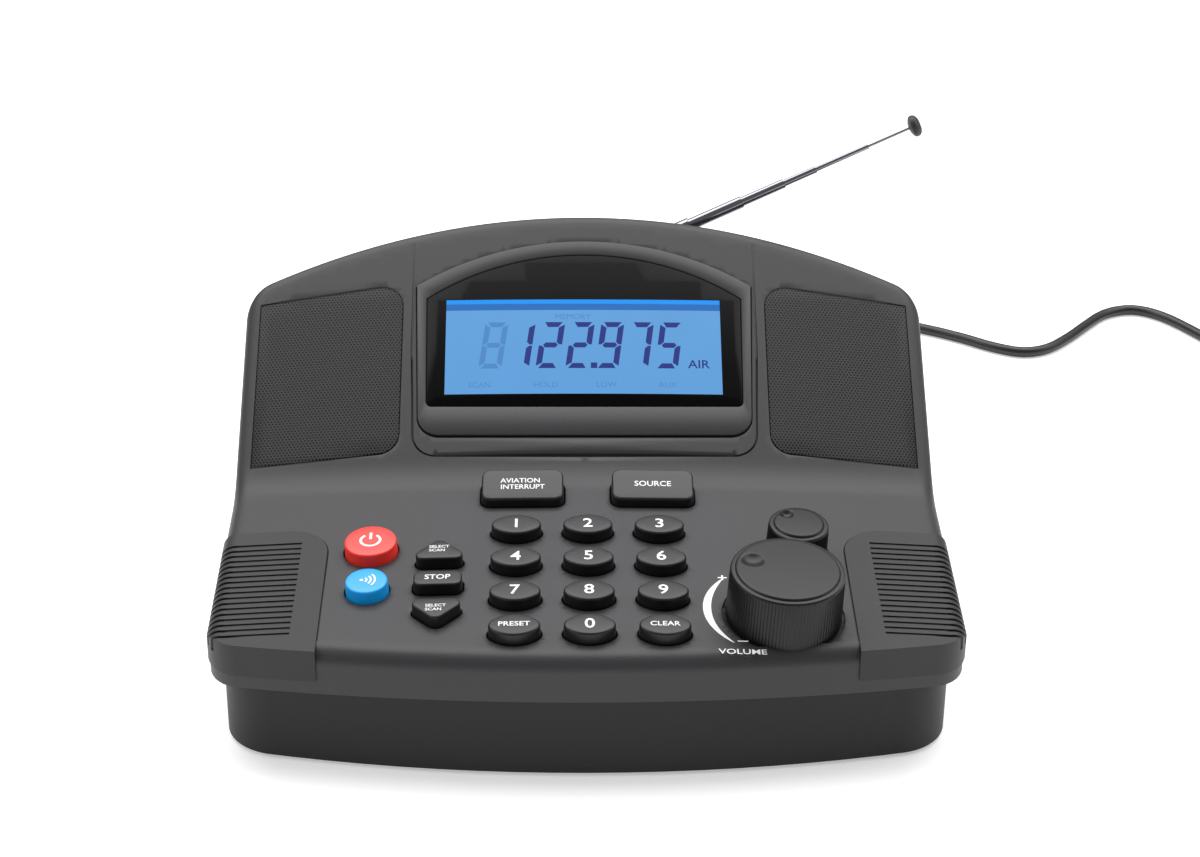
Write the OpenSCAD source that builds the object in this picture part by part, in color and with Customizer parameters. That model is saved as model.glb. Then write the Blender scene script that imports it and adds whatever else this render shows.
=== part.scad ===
// Desktop airband scanner radio, millimetres, +Z up, X to the right, +Y to the back.
// The front edge of the case is at the negative Y end and the feet stand on Z = 0.

/* [Case] */
// Overall width across the ribbed grips
body_w = 250; // [200:1:320]
// Depth from the front skirt to the rear wall, at the middle
body_d = 200.7; // [160:0.5:250]
// Height of the keypad deck at its front edge
front_h = 46.1; // [40:0.1:60]
// Slope of the keypad deck, degrees
deck_slope = 4.8; // [2:0.1:8]
// Slope of the display panel, degrees
panel_slope = 33.8; // [28:0.1:38]
// Wall thickness of the two shells
wall = 3; // [2.4:0.1:4]
// Height of the upper shell's skirt, measured from the deck
skirt_h = 16.5; // [14:0.1:20]
// Bow radius of the front edge in plan
front_r = 500; // [400:5:900]
// Bow radius of the rear wall in plan
rear_r = 343; // [300:1:600]
// Cross crown radius of the deck and panel
crown_r = 1750; // [1200:10:3000]
// How far the lower shell is set in at each side
base_inset = 4.5; // [3:0.1:6]

/* [Keys] */
// Width of a numeral key at its foot
key_w = 17.4; // [15:0.1:19]
// Depth of a numeral key at its foot
key_d = 12; // [10:0.1:13]
// Height of the keys above the deck
key_h = 3.6; // [2.5:0.1:5]
// Gap round each key in its well
key_gap = 0.35; // [0.25:0.05:0.5]
// Travel of a key
key_travel = 1.2; // [0.8:0.1:1.5]
// Diameter of the power button
power_dia = 18.2; // [15:0.1:20]
// Diameter of the wireless button
wireless_dia = 14.6; // [12:0.1:16]

/* [Knobs] */
// Diameter of the volume knob
volume_dia = 37.6; // [30:0.1:42]
// Height of the volume knob
volume_h = 18; // [12:0.1:22]
// Diameter of the squelch knob
squelch_dia = 20.4; // [16:0.1:24]
// Height of the squelch knob
squelch_h = 12; // [9:0.1:16]
// Radius of the volume shaft
shaft_r = 3; // [2.5:0.1:3.5]
// Radial running clearance of the shafts
shaft_gap = 0.05; // [0.02:0.01:0.1]

/* [Antenna] */
// Angle of the antenna above level, degrees
antenna_tilt = 25.8; // [0:0.1:85]
// Length of the antenna's largest tube
antenna_tube = 114; // [90:1:130]
// Radial clearance between the antenna tubes
tube_gap = 0.06; // [0.03:0.01:0.1]

/* [Sockets] */
// Radius of the audio jack's hole
aux_r = 1.8; // [1.75:0.01:1.9]
// Depth of the audio jack's hole
aux_len = 14; // [12:0.5:16]
// Radius of the power jack's hole
dc_r = 2.8; // [2.7:0.05:3]

/* [Cord] */
// Diameter of the power cord
cord_dia = 4.6; // [4:0.1:5.5]

/* [Hidden] */
$fn = 72;
kx = body_w / 250;
ky = body_d / 200.7;
hw = body_w / 2;
proud = 0.6;               // grips stand this far out of the shell
bend_y = 105 * ky;
bend_z = front_h + bend_y * tan(deck_slope);
panel_len = (body_d - bend_y) / cos(panel_slope);
edge_r = 5.5;
front_round = 5;
rear_round = 6;
front_corner = 14;
rear_corner = 13;
foot_h = 1.5;
mid_y = 105.2 + (body_d - 200.7) / 2;   // footprint centre, front edge to antenna
key_a = key_w / 2;
key_b = key_d / 2;
rows = [for (v = [72.2, 53, 33.7, 14.9]) v * ky];
cols = [for (x = [-23.9, 0.5, 24.9]) x * kx];
vol_x = 64.3 * kx;  vol_v = 27 * ky;
sq_x = 71.2 * kx;   sq_v = 62.8 * ky;
btn_x = -73.1 * kx; pow_v = 63.9 * ky; wl_v = 40.9 * ky;
scan_x = -49.6 * kx;
spk_x = 93 * kx;    spk_v = 45.5 * ky;
grip_x = 88 * kx;   grip_v = 77 * ky;
ant_x = -65.7 * kx; ant_z = 58;
ant_y = body_d + 5;
seat_y = body_d - rear_r + sqrt(rear_r * rear_r - ant_x * ant_x);
ear_y = ant_y - 5.4;
tube_r = [2.95, 2.33, 1.86, 1.40, 1.03, 0.62];
tube_out = [0, 21.6, 17.2, 13.1, 21.3, 16.7];
tube_len = [antenna_tube, 110, 104, 98, 92, 86];
s_base = 4;
function s_end(i) = i == 0 ? s_base + antenna_tube : s_end(i - 1) + tube_out[i];
base_w = body_w - 2 * base_inset;
base_front = 1.5;
base_back = body_d - 3;
jack_x = 70 * kx;  jack_z = 20;
aux_x = 92 * kx;
function rear_at(x) = base_back - rear_r + sqrt(rear_r * rear_r - x * x);
jack_y = rear_at(jack_x);
aux_y = rear_at(aux_x);
lcd_v = 54.2 * ky;
screws = [[-98 * kx, 24 * ky + 4, 16], [98 * kx, 24 * ky + 4, 16], [-103 * kx, 174 * ky, 29], [103 * kx, 174 * ky, 29]];

// ---- 2-D outlines ----
// oval made of four true arcs: half width a, half height b, end radius e
module oval(a, b, e) {
    x = a - e;
    r = (x * x + b * b - e * e) / (2 * (b - e));
    t = x * r / (r - e);
    intersection() {
        translate([0, b - r]) circle(r);
        translate([0, r - b]) circle(r);
        translate([-t, -2 * b]) square([2 * t, 4 * b]);
    }
    for (s = [-1, 1]) translate([s * x, 0]) circle(e);
}
// one outline round a ring of circles [x, y, radius], listed anticlockwise; radius 0 is a sharp corner
function side(a, b) = let (f = atan2(b[1] - a[1], b[0] - a[0]), d = norm([b[0] - a[0], b[1] - a[1]]), n = f - acos((a[2] - b[2]) / d))
    [[a[0] + a[2] * cos(n), a[1] + a[2] * sin(n)], [b[0] + b[2] * cos(n), b[1] + b[2] * sin(n)]];
module blob(c) {
    n = len(c);
    polygon([for (i = [0:n - 1]) each (c[i][2] > 0 ? side(c[i], c[(i + 1) % n]) : c[(i + 1) % n][2] > 0 ? side(c[i], c[(i + 1) % n]) : [[c[i][0], c[i][1]]])]);
    for (k = c) if (k[2] > 0) translate([k[0], k[1]]) circle(k[2]);
}
module pad(w, d, r) blob([[-w / 2 + r, -d / 2 + r, r], [w / 2 - r, -d / 2 + r, r], [w / 2 - r, d / 2 - r, r], [-w / 2 + r, d / 2 - r, r]]);
// plan outline: straight sides, bowed front and back, true arcs at the corners
module plan(w, yf, rf, cf, yr, rr, cr) {
    xf = w / 2 - cf;
    xr = w / 2 - cr;
    yfc = yf + rf - sqrt((rf - cf) * (rf - cf) - xf * xf);
    yrc = yr - rr + sqrt((rr - cr) * (rr - cr) - xr * xr);
    tf = xf * rf / (rf - cf);
    tr = xr * rr / (rr - cr);
    ym = (yf + yr) / 2;
    intersection() {
        translate([0, yf + rf]) circle(rf, $fn = 256);
        translate([-tf, yf - 1]) square([2 * tf, ym - yf + 1]);
    }
    intersection() {
        translate([0, yr - rr]) circle(rr, $fn = 256);
        translate([-tr, ym]) square([2 * tr, yr - ym + 1]);
    }
    translate([-w / 2, yfc]) square([w, yrc - yfc]);
    for (s = [-1, 1]) {
        translate([s * xf, yfc]) circle(cf);
        translate([s * xr, yrc]) circle(cr);
    }
}
// a bow of radius r over half width x, drawn as fine flats, with its middle at the origin
function bow(r, x, n = 20) = [for (i = [0:n]) let (u = x * (2 * i / n - 1)) [u, sqrt(r * r - u * u) - r]];
// crowned cross-section with rounded shoulders, inset by d
module section(d) {
    r = edge_r - d;
    rc = crown_r - d;
    h = hw - d + 0.02;
    x = h - r;
    yc = sqrt((rc - r) * (rc - r) - x * x) - crown_r;
    t = x * rc / (rc - r);
    intersection() {
        translate([0, -crown_r]) circle(rc, $fn = 256);
        translate([-t, -150]) square([2 * t, 200]);
    }
    translate([-h, -150]) square([2 * h, 150 + yc]);
    for (s = [-1, 1]) translate([s * x, yc]) circle(r);
}
// ---- frames ----
module on_front() translate([0, -mid_y, 0]) children();
module deck() translate([0, 0, front_h]) rotate([deck_slope, 0, 0]) children();
module panel() translate([0, bend_y, bend_z]) rotate([panel_slope, 0, 0]) children();
module crowned(x, v) translate([0, v, -crown_r]) rotate([0, asin(x / crown_r), 0]) translate([0, 0, crown_r]) children();
module on_deck(x, v) deck() crowned(x, v) children();
module on_panel(x, v) panel() crowned(x, v) children();
module run(d) translate([0, 330, 0]) rotate([90, 0, 0]) linear_extrude(500) section(d);
// the same crown as fine flats, for the thin plates of the display
module fan(d) translate([0, 330, -d]) rotate([90, 0, 0]) linear_extrude(500) polygon(concat([[70, -50], [-70, -50]], bow(crown_r - d, 70, 12)));
// ---- case body inset by d ----
module body(d) {
    intersection() {
        union() {
            deck() run(d);
            panel() run(d);
            translate([0, bend_y, bend_z + 1]) rotate([(deck_slope + panel_slope) / 2, 0, 0]) run(d);
        }
        linear_extrude(200) plan(body_w - 2 * d, d, front_r - d, front_corner - d, body_d - d, rear_r - d, rear_corner - d);
    }
}
// everything under a level n below the deck, following the crown
module under(n) deck() translate([0, 330, -crown_r]) rotate([90, 0, 0]) linear_extrude(500) intersection() {
    circle(crown_r - n, $fn = 256);
    translate([-hw - 20, crown_r - 150]) square([body_w + 40, 200]);
}
// ---- outlines on the deck and panel ----
module grip_side(s, g) {
    x0 = grip_x - g;
    c = 14;
    mirror([s < 0 ? 1 : 0, 0]) {
        translate([x0, -20]) square([60, 20 + grip_v - c]);
        translate([x0 + c + g, grip_v - c - 1]) square([60 - c, c + 1 + g]);
        translate([grip_x + c, grip_v - c]) circle(c + g);
    }
}
module lens_plan(g) intersection() {
    translate([0, 93.4 - 54.2 - 99]) circle(99 + g, $fn = 256);
    blob([[-55, -22.6, 2 + g], [55, -22.6, 2 + g], [57.6 + g, 10, 0], [57.6 + g, 60, 0], [-57.6 - g, 60, 0], [-57.6 - g, 10, 0]]);
}
module bezel_plan(g) intersection() {
    translate([0, 99.5 - 54.2 - 110]) circle(110 + g, $fn = 256);
    blob([[-52, -28.5, 8 + g], [52, -28.5, 8 + g], [61.6 + g, 30, 0], [61.6 + g, 60, 0], [-61.6 - g, 60, 0], [-61.6 - g, 30, 0]]);
}
module surround_plan(g) blob([[-53, -35.5, 9 + g], [53, -35.5, 9 + g], [63.2 + g, 0, 0], [63.2 + g, 120, 0], [-63.2 - g, 120, 0], [-63.2 - g, 0, 0]]);
module grille_plan(g) blob([[-26 - g, -38.8 - g, 0], [18.5, -26.5, 8 + g], [18.5, 27.3, 8 + g], [-26 - g, 29 + g, 0]]);
module scan_up_plan(g) blob([[-5.2, -2.9, 2.9 + g], [5.2, -2.9, 2.9 + g], [0, 2.6, 2.9 + g]]);
module scan_down_plan(g) blob([[5.2, 2.9, 2.9 + g], [-5.2, 2.9, 2.9 + g], [0, -2.6, 2.9 + g]]);
module stop_plan(g) pad(16.6 + 2 * g, 8.6 + 2 * g, 3 + g);
module wide_plan(g) pad(29 + 2 * g, 15 + 2 * g, 3.5 + g);
// ---- shells ----
module top_shell($fn = 32) color([0.24, 0.24, 0.25]) on_front() difference() {
    body(proud);
    under(skirt_h);
    difference() {
        body(wall);
        // bosses for the case screws
        for (p = screws) translate([p[0], p[1], -10]) cylinder(r = 3.8, h = 150);
    }
    for (p = screws) translate([p[0], p[1], p[2]]) cylinder(r = 1.53, h = 26.5);
    // wells for the keys and buttons
    for (x = cols, v = rows) on_deck(x, v) translate([0, 0, -8]) linear_extrude(16) oval(key_a + key_gap, key_b + key_gap, 4 + key_gap);
    on_deck(scan_x, 58 * ky) translate([0, 0, -8]) linear_extrude(16) scan_up_plan(key_gap);
    on_deck(scan_x, 41.6 * ky) translate([0, 0, -8]) linear_extrude(16) stop_plan(key_gap);
    on_deck(scan_x, 24.6 * ky) translate([0, 0, -8]) linear_extrude(16) scan_down_plan(key_gap);
    for (x = [-22, 23.4]) on_deck(x * kx, 95.8 * ky) translate([0, 0, -8]) linear_extrude(20) wide_plan(key_gap);
    on_deck(btn_x, pow_v) translate([0, 0, -8]) cylinder(r = power_dia / 2 + key_gap, h = 16);
    on_deck(btn_x, wl_v) translate([0, 0, -8]) cylinder(r = wireless_dia / 2 + key_gap, h = 16);
    // knob wells and bushing holes
    on_deck(vol_x, vol_v) {
        translate([0, 0, -1.6]) cylinder(r = volume_dia / 2 + 1.4, h = 8);
        translate([0, 0, -8]) cylinder(r = shaft_r + 1, h = 16);
    }
    on_deck(sq_x, sq_v) {
        translate([0, 0, -1.6]) cylinder(r = squelch_dia / 2 + 1.1, h = 8);
        translate([0, 0, -8]) cylinder(r = shaft_r, h = 16);
    }
    // display pocket, window and surround groove
    panel() translate([0, lcd_v, 0]) {
        translate([0, 0, -2.2]) linear_extrude(10) bezel_plan(0.15);
        translate([-52, -22, -12]) cube([104, 44, 14]);
        translate([0, 0, -1.6]) linear_extrude(10) difference() {
            surround_plan(0);
            surround_plan(-0.7);
        }
    }
    // grille pockets and sound holes
    for (s = [-1, 1]) on_panel(s * spk_x, spk_v) {
        translate([0, 0, -2.1]) linear_extrude(8) mirror([s > 0 ? 1 : 0, 0]) grille_plan(0.15);
        translate([0, 0, -10]) cylinder(r = 22, h = 12);
    }
    // recesses for the grips
    for (s = [-1, 1]) difference() {
        translate([0, 0, -5]) linear_extrude(120) grip_side(s, 0.25);
        body(2);
        under(skirt_h - 4.7);
    }
    // seat of the antenna swivel
    translate([ant_x, body_d - 40, ant_z]) rotate([-90, 0, 0]) cylinder(r = 9.1, h = 60);
}
module grip(s) color([0.2, 0.2, 0.21]) on_front() resize([0, 0, 0]) difference() {
    intersection() {
        difference() {
            body(0);
            body(1.9);
        }
        translate([0, 0, -5]) linear_extrude(120) grip_side(s, 0);
    }
    under(skirt_h - 5);
    // ribbed face
    difference() {
        for (i = [0:17]) deck() translate([s > 0 ? grip_x + 9 : -grip_x - 9 - 60, (17.4 + i * 3) * ky, -9.5]) cube([60, 1.3, 20]);
        body(0.8);
    }
}
module grip_left() grip(-1);
module grip_right() grip(1);
module base_shell() color([0.2, 0.2, 0.21]) on_front() resize([0, 0, 0]) difference() {
    intersection() {
        translate([0, 0, foot_h]) linear_extrude(120) plan(base_w, base_front, front_r, 20, base_back, rear_r, 16);
        under(skirt_h + 0.02);
    }
    difference() {
        translate([0, 0, foot_h + 2.5]) linear_extrude(120) plan(base_w - 5, base_front + 2.5, front_r - 2.5, 17.5, base_back - 2.5, rear_r - 2.5, 13.5);
        for (p = screws) translate([p[0], p[1], -10]) cylinder(r = 4.6, h = 100);
        for (x = [-70, 70], y = [40, 100]) translate([x * kx, y * ky, 0]) cylinder(r = 3, h = 12);
        translate([-36, 118 * ky, 0]) cube([72, 58, 21]);
    }
    // battery bay with a ledge for its cover
    translate([-33, 118 * ky + 3, -1]) cube([66, 52, 19.5]);
    translate([-35, 118 * ky + 1, -1]) cube([70, 56, 3.5]);
    for (p = screws) translate([p[0], p[1], -1]) {
        cylinder(r = 1.7, h = 70);
        cylinder(r = 3.2, h = p[2] + 1);
    }
    for (x = [-98, 98], y = [22, 165]) translate([x * kx, y * ky - 4 * sign(y - 60), foot_h]) translate([0, 0, -0.1]) cylinder(r = 6.1, h = 0.9);
    translate([jack_x, jack_y - 12, jack_z]) rotate([-90, 0, 0]) cylinder(r = 4.6, h = 30);
    translate([aux_x, aux_y - 12, jack_z]) rotate([-90, 0, 0]) cylinder(r = 4.1, h = 30);
}
module feet() color([0.1, 0.1, 0.1]) on_front() for (x = [-98, 98], y = [22, 165]) translate([x * kx, y * ky - 4 * sign(y - 60), 0]) cylinder(r = 6, h = foot_h + 0.79);
module battery_cover() color([0.2, 0.2, 0.21]) on_front() translate([-34.8, 118 * ky + 1.2, foot_h]) cube([69.6, 55.6, 1]);
module batteries() color([0.6, 0.6, 0.62]) on_front() for (i = [0:3]) translate([-24.6 + 16.4 * i, 118 * ky + 4, 10.2]) rotate([-90, 0, 0]) {
    cylinder(r = 7.1, h = 48.5);
    cylinder(r = 2.6, h = 49.8);
}
module case_screws() color([0.6, 0.6, 0.6]) on_front() for (p = screws) translate([p[0], p[1], p[2] - 0.02]) {
    cylinder(r = 1.5, h = 26);
    translate([0, 0, -2]) cylinder(r = 2.9, h = 2);
}
// ---- display and speakers ----
module display_bezel() color([0.25, 0.25, 0.26]) on_front() panel() intersection() {
    translate([0, lcd_v, -2.15]) linear_extrude(8) difference() {
        bezel_plan(0);
        lens_plan(0.1);
    }
    fan(-0.4);
}
module display_lens() color([0.02, 0.02, 0.03, 0.6]) on_front() panel() intersection() {
    translate([0, lcd_v, -2.15]) linear_extrude(8) lens_plan(0);
    fan(0);
}
module lcd_glass() color([0.35, 0.65, 0.95]) on_front() panel() translate([-55, lcd_v - 24, -7]) cube([110, 48, 2.4]);
module display_board() color([0.1, 0.35, 0.2]) on_front() panel() translate([-60, lcd_v - 30, -9.2]) cube([120, 60, 1.6]);
module speaker_grille(s) color([0.12, 0.12, 0.12]) on_front() on_panel(s * spk_x, spk_v) translate([0, 0, -2.05]) linear_extrude(1.1) mirror([s > 0 ? 1 : 0, 0]) grille_plan(0);
module speaker_grille_left() speaker_grille(-1);
module speaker_grille_right() speaker_grille(1);
module speaker(s) color([0.15, 0.15, 0.16]) on_front() on_panel(s * spk_x, spk_v) translate([0, 0, -3.9]) rotate_extrude()
    polygon([[0, -7], [5, -7.8], [20, -1.4], [21.6, -1.6], [23, 0], [25.5, 0], [25.5, -1.4], [22.6, -1.4], [12, -13], [16, -13], [16, -19], [0, -19]]);
module speaker_left() speaker(-1);
module speaker_right() speaker(1);
// ---- keys ----
module oval_key(x, v) color([0.13, 0.13, 0.14]) on_front() on_deck(x, v) {
    translate([0, 0, -wall - 1.3]) linear_extrude(wall + 1.3 + key_h - 1.2) oval(key_a, key_b, 4);
    translate([0, 0, -wall - 1.3]) linear_extrude(wall + 1.3 + key_h) oval(key_a - 0.5, key_b - 0.5, 3.7);
    translate([0, 0, -wall - 1.3]) linear_extrude(1.1) oval(key_a + 1, key_b + 1, 5);
}
module key_1() oval_key(cols[0], rows[0]);
module key_2() oval_key(cols[1], rows[0]);
module key_3() oval_key(cols[2], rows[0]);
module key_4() oval_key(cols[0], rows[1]);
module key_5() oval_key(cols[1], rows[1]);
module key_6() oval_key(cols[2], rows[1]);
module key_7() oval_key(cols[0], rows[2]);
module key_8() oval_key(cols[1], rows[2]);
module key_9() oval_key(cols[2], rows[2]);
module key_preset() oval_key(cols[0], rows[3]);
module key_0() oval_key(cols[1], rows[3]);
module key_clear() oval_key(cols[2], rows[3]);
module shaped_key(x, v, h) color([0.13, 0.13, 0.14]) on_front() on_deck(x, v) {
    translate([0, 0, -wall - 1.3]) linear_extrude(wall + 1.3 + h) children(0);
    translate([0, 0, -wall - 1.3]) linear_extrude(1.1) children(1);
}
module key_scan_up() shaped_key(scan_x, 58 * ky, key_h) { scan_up_plan(0); scan_up_plan(0.9); }
module key_stop() shaped_key(scan_x, 41.6 * ky, key_h) { stop_plan(0); stop_plan(0.9); }
module key_scan_down() shaped_key(scan_x, 24.6 * ky, key_h) { scan_down_plan(0); scan_down_plan(0.9); }
module wide_key(x) color([0.13, 0.13, 0.14]) on_front() on_deck(x * kx, 95.8 * ky) {
    difference() {
        translate([0, 0, -wall - 1.3]) linear_extrude(wall + 1.3 + 5.6) wide_plan(0);
        translate([-20, -8, 2.6]) rotate([11.8, 0, 0]) cube([40, 24, 10]);
    }
    translate([0, 0, -wall - 1.3]) linear_extrude(1.1) wide_plan(0.9);
}
module key_interrupt() wide_key(-22);
module key_source() wide_key(23.4);
module round_key(v, r) on_front() on_deck(btn_x, v) {
    translate([0, 0, -wall - 1.3]) cylinder(r = r, h = wall + 1.3 + key_h - 0.8);
    translate([0, 0, -wall - 1.3]) cylinder(r = r - 0.6, h = wall + 1.3 + key_h);
    translate([0, 0, -wall - 1.3]) cylinder(r = r + 1, h = 1.1);
}
module power_button() color([0.9, 0.2, 0.15]) round_key(pow_v, power_dia / 2);
module wireless_button() color([0.05, 0.6, 0.9]) round_key(wl_v, wireless_dia / 2);
// ---- knobs ----
module knob(r, h, bore, x, v, dx, dv, dr) color([0.14, 0.14, 0.15]) on_front() on_deck(x, v) difference() {
    rotate_extrude() polygon([[bore, 2.4], [bore + 2.4, 2.4], [bore + 2.4, h - 3], [r - 2, h - 3], [r - 2, -1.2], [r + 0.4, -1.2], [r, h - 1.2], [r - 0.7, h - 0.6], [r - 1.5, h - 0.6], [r - 2.1, h], [bore, h]]);
    translate([dx, dv, h + dr * 1.1]) sphere(dr * 1.5);
}
module volume_knob() union() {
    knob(volume_dia / 2, volume_h, shaft_r, vol_x, vol_v, -11.2, 4.2, 3.6);
    color([0.14, 0.14, 0.15]) on_front() on_deck(vol_x, vol_v) translate([0, 0, volume_h - 2.6]) cylinder(r = shaft_r + 0.5, h = 1.6);
}
module squelch_knob() union() {
    knob(squelch_dia / 2, squelch_h, shaft_r - 1, sq_x, sq_v, -3.8, 4.6, 2);
    color([0.14, 0.14, 0.15]) on_front() on_deck(sq_x, sq_v) translate([0, 0, squelch_h - 2.6]) cylinder(r = shaft_r - 0.5, h = 1.6);
}
module volume_shaft() color([0.7, 0.7, 0.7]) on_front() on_deck(vol_x, vol_v) translate([0, 0, -10]) cylinder(r = shaft_r - 0.01, h = 10 + volume_h - 2.7);
module squelch_shaft() color([0.7, 0.7, 0.7]) on_front() on_deck(sq_x, sq_v) translate([0, 0, -8.6]) cylinder(r = shaft_r - 1.01, h = 8.6 + squelch_h - 2.7);
module pot(x, v, r, side, deep) color([0.5, 0.5, 0.5]) on_front() on_deck(x, v) difference() {
    union() {
        translate([-side / 2, -side / 2, -wall - 1 - deep]) cube([side, side, deep]);
        translate([0, 0, -wall - 1.2]) cylinder(r = r + 0.8, h = wall + 2.4);
    }
    translate([0, 0, -wall - 1 - deep + 0.8]) cylinder(r = r + shaft_gap, h = 40);
}
module volume_pot() pot(vol_x, vol_v, shaft_r, 16, 8);
module squelch_pot() pot(sq_x, sq_v, shaft_r - 1, 10, 6);
// ---- boards ----
module keypad_board() color([0.1, 0.35, 0.2]) on_front() deck() {
    translate([-84 * kx, 12.2 * ky, -9.6]) cube([123 * kx, 92.6 * ky, 1.6]);
    for (x = cols, v = rows) translate([x, v, -8.1]) cylinder(r = 2.5, h = 0.5);
}
module main_board() color([0.1, 0.35, 0.2]) on_front() {
    translate([-78 * kx, 34 * ky, 12]) cube([156 * kx, 74 * ky, 1.6]);
    translate([-30, 60 * ky, 13.5]) cube([14, 14, 1.4]);
    translate([10, 55 * ky, 13.5]) cube([22, 16, 2.4]);
}
// ---- antenna ----
module along(s) translate([ant_x, ant_y, ant_z]) rotate([0, 90 - antenna_tilt, 0]) translate([0, 0, s]) children();
module antenna_mount() color([0.15, 0.15, 0.15]) on_front() translate([ant_x, 0, ant_z]) rotate([-90, 0, 0]) difference() {
    union() {
        translate([0, 0, seat_y - 9]) cylinder(r = 9, h = 10.6);
        translate([0, 0, seat_y - 9]) cylinder(r = 11, h = 3);
    }
    translate([0, 0, seat_y - 20]) cylinder(r = 4.05, h = 40);
}
module antenna_swivel() color([0.3, 0.3, 0.3]) on_front() {
    translate([ant_x, 0, ant_z]) rotate([-90, 0, 0]) {
        translate([0, 0, seat_y - 10]) cylinder(r = 4, h = ear_y - seat_y + 10);
        translate([0, 0, seat_y - 11.5]) cylinder(r = 6, h = 2.2);
        translate([0, 0, seat_y + 1.9]) cylinder(r = 8, h = ear_y - seat_y - 1.9);
    }
    along(0) difference() {
        for (s = [-1, 1]) {
            translate([s * 3 - 0.85, 0, 0]) rotate([0, 90, 0]) cylinder(r = 3.2, h = 1.7);
            translate([s * 3 - 0.85, -5.6, -3.2]) cube([1.7, 5.6, 6.4]);
        }
        translate([-10, 0, 0]) rotate([0, 90, 0]) cylinder(r = 1.2, h = 20);
    }
    along(0) translate([-3.85, 0, 0]) rotate([0, 90, 0]) cylinder(r = 1.2, h = 7.7);
}
function tube_start(i) = i == 0 ? s_base : s_end(i) - tube_len[i];
module tube(i) difference() {
    along(tube_start(i)) cylinder(r = tube_r[i], h = s_end(i) - tube_start(i));
    if (i < 5) along(tube_start(i) + 2) cylinder(r = tube_r[i + 1] + tube_gap, h = s_end(i) - tube_start(i));
}
module antenna_base() color([0.75, 0.75, 0.76]) on_front() {
    tube(0);
    along(0) difference() {
        union() {
            translate([-1.95, 0, 0]) rotate([0, 90, 0]) cylinder(r = 2.9, h = 3.9);
            translate([-1.95, -2.2, 0]) cube([3.9, 4.4, s_base + 0.5]);
        }
        translate([-5, 0, 0]) rotate([0, 90, 0]) cylinder(r = 1.25, h = 10);
    }
}
module antenna_tube_1() color([0.78, 0.78, 0.79]) on_front() tube(1);
module antenna_tube_2() color([0.78, 0.78, 0.79]) on_front() tube(2);
module antenna_tube_3() color([0.78, 0.78, 0.79]) on_front() tube(3);
module antenna_tube_4() color([0.78, 0.78, 0.79]) on_front() tube(4);
module antenna_tube_5() color([0.78, 0.78, 0.79]) on_front() tube(5);
module antenna_tip() color([0.1, 0.1, 0.1]) on_front() difference() {
    along(s_end(5) + 1) {
        cylinder(r = 4.2, h = 3.2);
        translate([0, 0, -1.6]) cylinder(r = 1.8, h = 2);
    }
    along(s_end(5) - 3) cylinder(r = tube_r[5] + 0.01, h = 3);
}
// ---- sockets ----
module dc_jack() color([0.1, 0.1, 0.1]) on_front() translate([jack_x, jack_y, jack_z]) rotate([-90, 0, 0]) difference() {
    union() {
        translate([0, 0, -6]) cylinder(r = 4.5, h = 5.6);
        translate([-6, -6, -16.5]) cube([12, 12, 11.6]);
    }
    translate([0, 0, -12]) cylinder(r = dc_r, h = 20);
}
module aux_jack() color([0.1, 0.1, 0.1]) on_front() translate([aux_x, aux_y, jack_z]) rotate([-90, 0, 0]) difference() {
    union() {
        translate([0, 0, -7]) cylinder(r = 4, h = 6);
        translate([-5, -5, -18.5]) cube([10, 10, 11.6]);
    }
    translate([0, 0, -1 - aux_len]) cylinder(r = aux_r, h = aux_len + 10);
}
// ---- power cord ----
module dc_plug() color([0.08, 0.08, 0.08]) on_front() translate([jack_x, jack_y, jack_z]) rotate([-90, 0, 0]) {
    translate([0, 0, -9.5]) cylinder(r = dc_r - 0.05, h = 11);
    translate([0, 0, 1]) cylinder(r = 5, h = 20);
    translate([0, 0, 20.9]) cylinder(r = 3.6, h = 9);
}
cord_r = cord_dia / 2;
cord_y0 = jack_y + 29.9;
coil_at = [330, 306];
coil_r = 27.5;
route = [
    [jack_x, cord_y0, jack_z], [jack_x, cord_y0 + 16, jack_z], [jack_x + 0.5, cord_y0 + 30, 15.5], [jack_x + 2, cord_y0 + 44, 8], [jack_x + 4, cord_y0 + 59, 3],
    [jack_x + 8, cord_y0 + 76, cord_r], [84, 318, cord_r], [98, 338, cord_r], [118, 348, cord_r], [138, 347, cord_r], [154, 340, cord_r],
    [169, 331, cord_r], [182, 321.5, cord_r], [194, 316.5, cord_r], [205.5, 320, cord_r], [217, 331.5, cord_r], [226.5, 343.5, cord_r],
    [237, 355.5, cord_r], [248, 360.5, cord_r], [257, 358.5, cord_r], [266, 350, cord_r], [276, 334, cord_r], [285.5, 317, cord_r], [295, 303.5, cord_r]
];
function spline(p, i, t) = let (n = len(p) - 1, a = p[max(i - 1, 0)], b = p[i], c = p[i + 1], d = p[min(i + 2, n)])
    0.5 * ((2 * b) + (c - a) * t + (2 * a - 5 * b + 4 * c - d) * t * t + (3 * b - a - 3 * c + d) * t * t * t);
path = concat([for (i = [0:len(route) - 2], k = [0:2]) spline(route, i, k / 3)], [route[len(route) - 1]]);
function unit(v) = v / norm(v);
function ring(i) = let (n = len(path) - 1, t = unit(path[min(i + 1, n)] - path[max(i - 1, 0)]), s = unit(cross(t, [0, 0, 1])), u = cross(s, t))
    [for (k = [0:9]) path[i] + cord_r * (cos(36 * k) * s + sin(36 * k) * u)];
module power_cord() color([0.05, 0.05, 0.05]) on_front() {
    n = len(path);
    pts = [for (i = [0:n - 1]) each ring(i)];
    polyhedron(points = pts, faces = concat(
        [[for (k = [0:9]) k]], [[for (k = [9:-1:0]) (n - 1) * 10 + k]],
        [for (i = [0:n - 2], k = [0:9]) [i * 10 + k, (i + 1) * 10 + k, (i + 1) * 10 + (k + 1) % 10, i * 10 + (k + 1) % 10]]), convexity = 10);
}
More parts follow.
